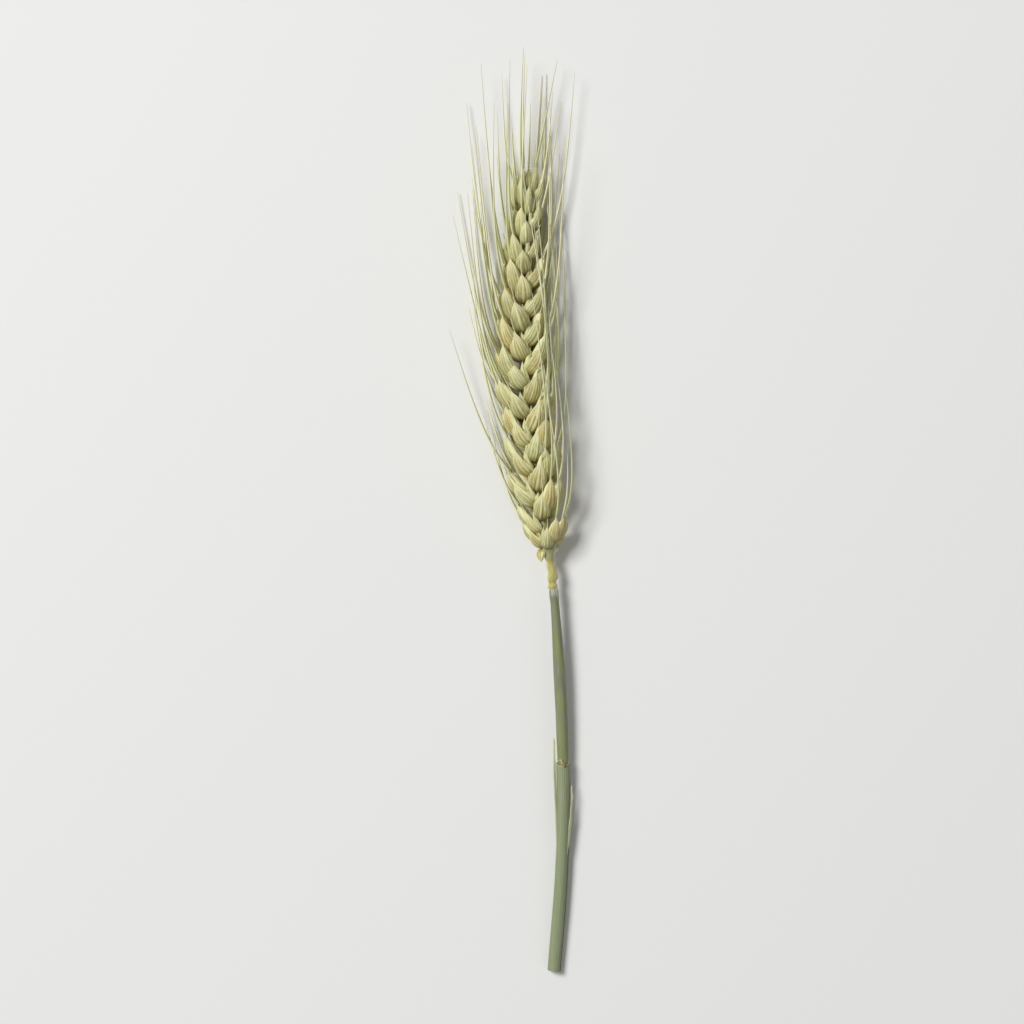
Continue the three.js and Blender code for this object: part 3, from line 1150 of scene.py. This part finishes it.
@dataclass
class Rachis:
    """The rachis: a flattened zigzag of short joints, bare and knobbly below the ear.

    flatness is its height beside its width, furrow how deep the furrows along it are and overlap how far it
    reaches down into the stem. A bump with no spread of its own goes all round.
    """

    radius: float = 1.08
    tip_radius: float = 0.85
    flatness: float = 0.88
    swell: float = 0.06
    zigzag: float = 0.16
    furrow: float = 0.05
    overlap: float = 0.4
    columns: int = 32
    bumps: tuple[Bump, ...] = (
        Bump(92.15, 0.0, 0.2, 0.42), Bump(93.1, 0.3, -0.16, 0.4), Bump(94.4, 0.2, 0.4, 0.8, 0.9),
        Bump(95.6, 1.7, 0.12, 0.7, 0.5), Bump(96.9, 3.0, 0.24, 0.65, 0.9), Bump(97.6, -0.1, 0.22, 0.5, 0.7),
        Bump(98.1, 1.5, -0.12, 0.5), Bump(100.4, -0.1, 0.85, 0.75, 0.6), Bump(101.8, 1.5, 0.75, 1.9),
    )

    def build(self) -> None:
        """Makes the rachis as one piece."""
        x = np.arange(NECK - self.overlap, TERMINAL_SPIKELET + 3.0, 0.2)[:, None]
        angle = once_round(self.columns)
        joint = math.pi * (x - FIRST_SPIKELET) / SPIKELET_PITCH
        bumps = sum(bump.at(x, angle) for bump in self.bumps)
        furrow = self.furrow * np.abs(np.sin(4 * angle + 0.4 * np.sin(x)))
        taper = mix(self.radius, self.tip_radius, smoothstep(x, FIRST_SPIKELET, TERMINAL_SPIKELET))
        radius = taper * (1 + self.swell * np.cos(joint)) + bumps - furrow
        across = radius * np.cos(angle) + self.zigzag * np.sin(joint)
        draft = Draft("rachis")
        draft.tube(
            AXIS.frames(x[:, 0]).rings(across, self.flatness * radius * np.sin(angle)),
            # rib: how far out the surface stands, which sets the painted shade in the dents and furrows.
            rib=np.clip(0.75 + 1.2 * bumps - 6 * furrow, 0.0, 1.0),
            edge=np.abs(np.cos(angle)),
            place=x,
            grain=fibres(np.cos(angle) * 2, np.sin(angle) * 2, x),
        )
        draft.build(RachisFinish().material(), "ear", "ear")


@dataclass
class Stem:
    """The straw stem: finely grooved, slimmer inside its sheath, hollow at its cut end.

    cut_bevel and top_bevel are how far its two ends are rounded in. Fine grooves of groove_depth and a few
    broad ones of hollow_depth run along it, and wander round it by twist, in radians.
    """

    radius: float = 1.45
    top_radius: float = 1.02
    radius_in_sheath: float = 1.22
    neck_swell: float = 0.14
    bore_radius: float = 0.5
    bore_depth: float = 9.0
    cut_bevel: float = 0.12
    top_bevel: float = 0.25
    columns: int = 64
    rows: int = 180
    grooves: int = 16
    groove_depth: float = 0.03
    hollow_depth: float = 0.02
    twist: float = 0.25

    def outer_radius(self, x: Array) -> Array:
        """The stem's radius outside.

        Args:
            x: Places along the stalk.

        Returns:
            The radius at each of them.
        """
        taper = mix(self.radius, self.top_radius, smoothstep(x, SHEATH_MOUTH + 20, NECK))
        swell = self.neck_swell * smoothstep(x, NECK - 3.5, NECK - 1.5)
        bare = smoothstep(x, SHEATH_MOUTH - 6, SHEATH_MOUTH + 7)
        return mix(self.radius_in_sheath, taper, bare) + swell

    def build(self) -> None:
        """Makes the stem as one piece, from the foot of its bore round its cut end to its top."""
        bore = np.linspace(self.bore_depth, 0.0, 6)
        outside = np.linspace(0.0, NECK - self.top_bevel, self.rows)
        x = np.concatenate([bore, [0.0], outside, [NECK - 0.05]])[:, None]
        radius = np.concatenate([
            np.full(len(bore), self.bore_radius),
            [self.radius_in_sheath - self.cut_bevel],
            self.outer_radius(outside),
            [self.outer_radius(np.array([NECK]))[0] - self.top_bevel],
        ])[:, None]
        inside = np.repeat([1.0, 0.0], [len(bore) + 1, len(outside) + 1])[:, None]
        angle = once_round(self.columns)
        twisted = angle + self.twist * np.sin(0.06 * x)
        groove = self.groove_depth * np.abs(np.cos(self.grooves * twisted / 2))
        groove = groove + self.hollow_depth * np.abs(np.cos(3.5 * twisted + 1))
        radius = radius * (1 - (1 - inside) * groove)
        draft = Draft("stem_straw")
        draft.tube(
            AXIS.frames(x[:, 0]).rings(radius * np.cos(angle), radius * np.sin(angle)),
            place=x,
            inside=inside,
            grain=fibres(np.cos(twisted) * 2, np.sin(twisted) * 2, x),
        )
        draft.build(StrawFinish().material(), "stem", "stem", sharp=50)


@dataclass(frozen=True)
class Strip:
    """A narrow dried strip at one side of the sheath.

    It runs from x start to x end, on the side where side is 1 for right and -1 for left. reach is how far it
    stands out from the axis at its foot and at its tip, and height how high it stands there. taper is the
    share of its width that it loses, and waver how far it wanders.
    """

    start: float
    end: float
    side: int
    reach: tuple[float, float]
    height: tuple[float, float]
    half_width: float
    taper: float
    waver: float
    half_thickness: float = 0.085

    def add_to(self, draft: Draft, rows: int = 70, columns: int = 10) -> None:
        """Adds the strip to a piece.

        Args:
            draft: The piece.
            rows: How many rings it has.
            columns: How many points each ring has.
        """
        u = np.linspace(0.0, 1.0, rows)[:, None]
        x = mix(self.start, self.end, u)
        angle = once_round(columns)
        away = smoothstep(u, 0.0, 0.8)
        waver = self.waver * (np.sin(1.1 * x) + 0.5 * np.sin(2.7 * x + 2.0)) * away
        width = self.half_width * (1 - self.taper * u) * np.clip((1.02 - u) / 0.06, 0.25, 1.0)
        width = width * mix(0.4, 1.0, smoothstep(u, 0.0, 0.25))
        width = width * (1 + 3 * self.waver * np.sin(2.3 * x) * away)
        across = self.side * (mix(*self.reach, away) + waver) + width * np.cos(angle)
        high = mix(*self.height, away) + 0.5 * waver
        high = high + self.half_thickness * np.sin(angle) - 0.25 * width * np.cos(angle) ** 2
        dried = mix(0.68, 1.0, smoothstep(u, 0.7, 1.0))
        draft.tube(
            AXIS.frames(x[:, 0]).rings(across, high),
            rib=0.5,
            edge=np.minimum(dried + 0.2 * np.cos(angle) ** 4, 1.0),
            knot=0.0,
            grain=fibres(np.cos(angle) * 2, self.side * 5, x),
        )


@dataclass(frozen=True)
class Knot:
    """The dried knot of the ligule: a small hook that lies across the sheath's mouth.

    Its thin end lies past the mouth by ahead, and its thick end back from there by run. left is where its
    thin end lies across the stalk, width how far it reaches from there and height how far from the axis it
    lies.
    """

    ahead: float = 1.15
    run: float = 1.7
    left: float = -0.85
    width: float = 1.35
    height: float = 1.72
    thin: float = 0.12
    thicker: float = 0.26

    def add_to(self, draft: Draft, rows: int = 26, columns: int = 12) -> None:
        """Adds the knot to a piece.

        Args:
            draft: The piece.
            rows: How many rings it has.
            columns: How many points each ring has.
        """
        u = np.linspace(0.0, 1.0, rows)[:, None]
        angle = once_round(columns)
        x = SHEATH_MOUTH + self.ahead - self.run * u**1.6
        across = self.left + self.width * u + 0.12 * np.sin(9 * u)
        high = np.sqrt(np.maximum(self.height**2 - across**2, 0)) + 0.12 * np.sin(3.1 * u)
        radius = self.thin + self.thicker * smoothstep(u, 0.15, 0.75)
        radius = radius * np.clip((1.03 - u) / 0.15, 0.3, 1.0) * (1 + 0.2 * np.sin(3 * angle + 11 * u))
        frames = AXIS.frames(x[:, 0])
        rings = frames.rings(across + 0.5 * radius * np.cos(angle), high + radius * np.sin(angle))
        draft.tube(
            rings + frames.along[:, None, :] * (radius * np.cos(angle))[..., None],
            rib=0.5,
            edge=1 - 0.6 * u,
            knot=smoothstep(u, 0.3, 0.8),
            grain=fibres(np.cos(angle), np.sin(angle), 3 * u),
        )


@dataclass
class LeafSheath:
    """The leaf sheath: a veined sleeve with a ragged mouth, a dried knot there and two torn strips.

    seam is the angle of its first edge round the axis and lap how far past it the other one goes, in
    radians. seam_drop is how much lower its mouth is at the seam, uneven and frayed are how ragged it is
    elsewhere, and dent is how far the sleeve is from round.
    """

    radius: float = 1.44
    flare: float = 0.12
    thickness: float = 0.16
    vein_height: float = 0.05
    veins: int = 22
    seam: float = -0.45
    lap: float = 0.5
    lap_height: float = 0.2
    seam_drop: float = 5.5
    uneven: float = 0.3
    frayed: float = 0.12
    dent: float = 0.03
    columns: int = 111
    rows: int = 130
    knot: Knot = Knot()
    strips: tuple[Strip, ...] = (
        Strip(27.0, 56.0, -1, (1.2, 2.05), (0.6, 0.3), half_width=0.34, taper=0.25, waver=0.02),
        Strip(28.0, 44.6, 1, (1.2, 2.1), (0.75, 0.6), half_width=0.5, taper=0.7, waver=0.07),
    )

    def sleeve(self, draft: Draft) -> None:
        """Adds the sleeve: its two edges overlap along its right side, and its mouth is ragged.

        Args:
            draft: The piece.
        """
        share = np.linspace(0.0, 1.0, self.columns)[None]
        angle = mix(self.seam, self.seam + 2 * math.pi + self.lap, share)
        mouth = SHEATH_MOUTH + self.uneven * np.sin(2 * angle + 1)
        mouth = mouth + self.frayed * np.sin(7 * angle) * np.sin(3 * angle)
        mouth = mouth - self.seam_drop * smoothstep(np.abs(share - 0.5), 0.44, 0.5)
        u = np.linspace(0.0, 1.0, self.rows)[:, None]
        x = u * mouth
        vein = np.abs(np.cos(self.veins * angle / 2)) ** 2
        flare = self.flare * smoothstep(x, SHEATH_MOUTH - 10, SHEATH_MOUTH)
        lapped = self.lap_height * smoothstep(share, 0.8, 0.95)
        outer = self.radius + flare + self.vein_height * vein + lapped
        outer = outer + self.dent * np.sin(2 * angle + 0.15 * x)
        inner = outer - self.thickness
        side_edge = smoothstep(np.abs(2 * share - 1), 0.95, 1.0) * smoothstep(x, 20, 40)
        draft.sheet(
            beside_axis(x, outer * np.cos(angle), outer * np.sin(angle)),
            beside_axis(x, inner * np.cos(angle), inner * np.sin(angle)),
            rib=vein,
            edge=np.maximum(side_edge, 0.8 * smoothstep(u, 0.982, 1.0)),
            knot=0.0,
            grain=fibres(np.cos(angle) * 2, np.sin(angle) * 2, x),
        )

    def build(self) -> None:
        """Makes the sheath as one piece."""
        draft = Draft("leaf_sheath_skin")
        self.sleeve(draft)
        self.knot.add_to(draft)
        for strip in self.strips:
            strip.add_to(draft)
        draft.build(SheathFinish().material(), "leaf_sheath", "leaf_sheath", sharp=50)


@dataclass(frozen=True)
class Lamp:
    """A soft square light that faces the origin, with its place and side in metres."""

    name: str
    place: tuple[float, float, float]
    side: float
    watts: float

    def hang(self) -> None:
        """Makes the light."""
        lamp = bpy.data.lights.new(self.name, "AREA")
        lamp.size = self.side
        lamp.energy = self.watts
        holder = bpy.data.objects.new(self.name, lamp)
        holder.location = self.place
        holder.rotation_euler = (-Vector(self.place)).to_track_quat("-Z", "Y").to_euler()
        bpy.context.scene.collection.objects.link(holder)


@dataclass
class Studio:
    """A pale floor, soft light and a camera that looks straight down, with the ear's tip at the top.

    frame_height is how much of the floor the camera sees from top to bottom, in metres, and lens is in
    millimetres.
    """

    lens: float = 90.0
    frame_height: float = 0.246
    floor_side: float = 3.0
    room_light: float = 0.22
    lamps: tuple[Lamp, ...] = (
        Lamp("key", (0.9, 1.3, 2.0), 0.9, 60.0),
        Lamp("fill", (-1.0, -1.6, 1.6), 2.0, 6.0),
    )

    def build(self, low: Vector, high: Vector) -> None:
        """Makes the floor, the lights and the camera.

        Args:
            low: The lowest corner of the whole.
            high: Its highest corner.
        """
        self.floor()
        for lamp in self.lamps:
            lamp.hang()
        world = bpy.data.worlds.new("soft_room")
        world.use_nodes = True
        background = world.node_tree.nodes["Background"]
        background.inputs["Color"].default_value = (1.0, 1.0, 1.0, 1.0)
        background.inputs["Strength"].default_value = self.room_light
        bpy.context.scene.world = world
        bpy.context.scene.view_settings.view_transform = "Standard"
        self.camera((low + high) / 2)

    def floor(self) -> None:
        """Makes the pale floor."""
        half = self.floor_side / 2
        mesh = bpy.data.meshes.new("floor")
        corners = [(-half, -half, 0), (half, -half, 0), (half, half, 0), (-half, half, 0)]
        mesh.from_pydata(corners, [], [(0, 1, 2, 3)])
        mesh.materials.append(Shader("pale_floor").finish(srgb(232, 232, 230), 0.9))
        floor = bpy.data.objects.new("floor", mesh)
        bpy.context.scene.collection.objects.link(floor)
        floor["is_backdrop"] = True

    def camera(self, target: Vector) -> None:
        """Makes the camera above the target.

        Args:
            target: What it looks at, in metres.
        """
        data = bpy.data.cameras.new("camera")
        data.lens = self.lens
        camera = bpy.data.objects.new("camera", data)
        distance = self.frame_height * self.lens / data.sensor_width
        camera.location = (target.x, target.y, distance)
        camera.rotation_euler = (0.0, 0.0, -math.pi / 2)
        bpy.context.scene.collection.objects.link(camera)
        bpy.context.scene.camera = camera


def main() -> None:
    """Dresses the frame and sets the studio round it."""
    logging.basicConfig(level=logging.INFO, format="%(message)s")
    cad_low, cad_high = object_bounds()
    Studio().build(cad_low, cad_high)
    Stem().build()
    LeafSheath().build()
    Rachis().build()
    Ear().build()


if __name__ == "__main__":
    main()
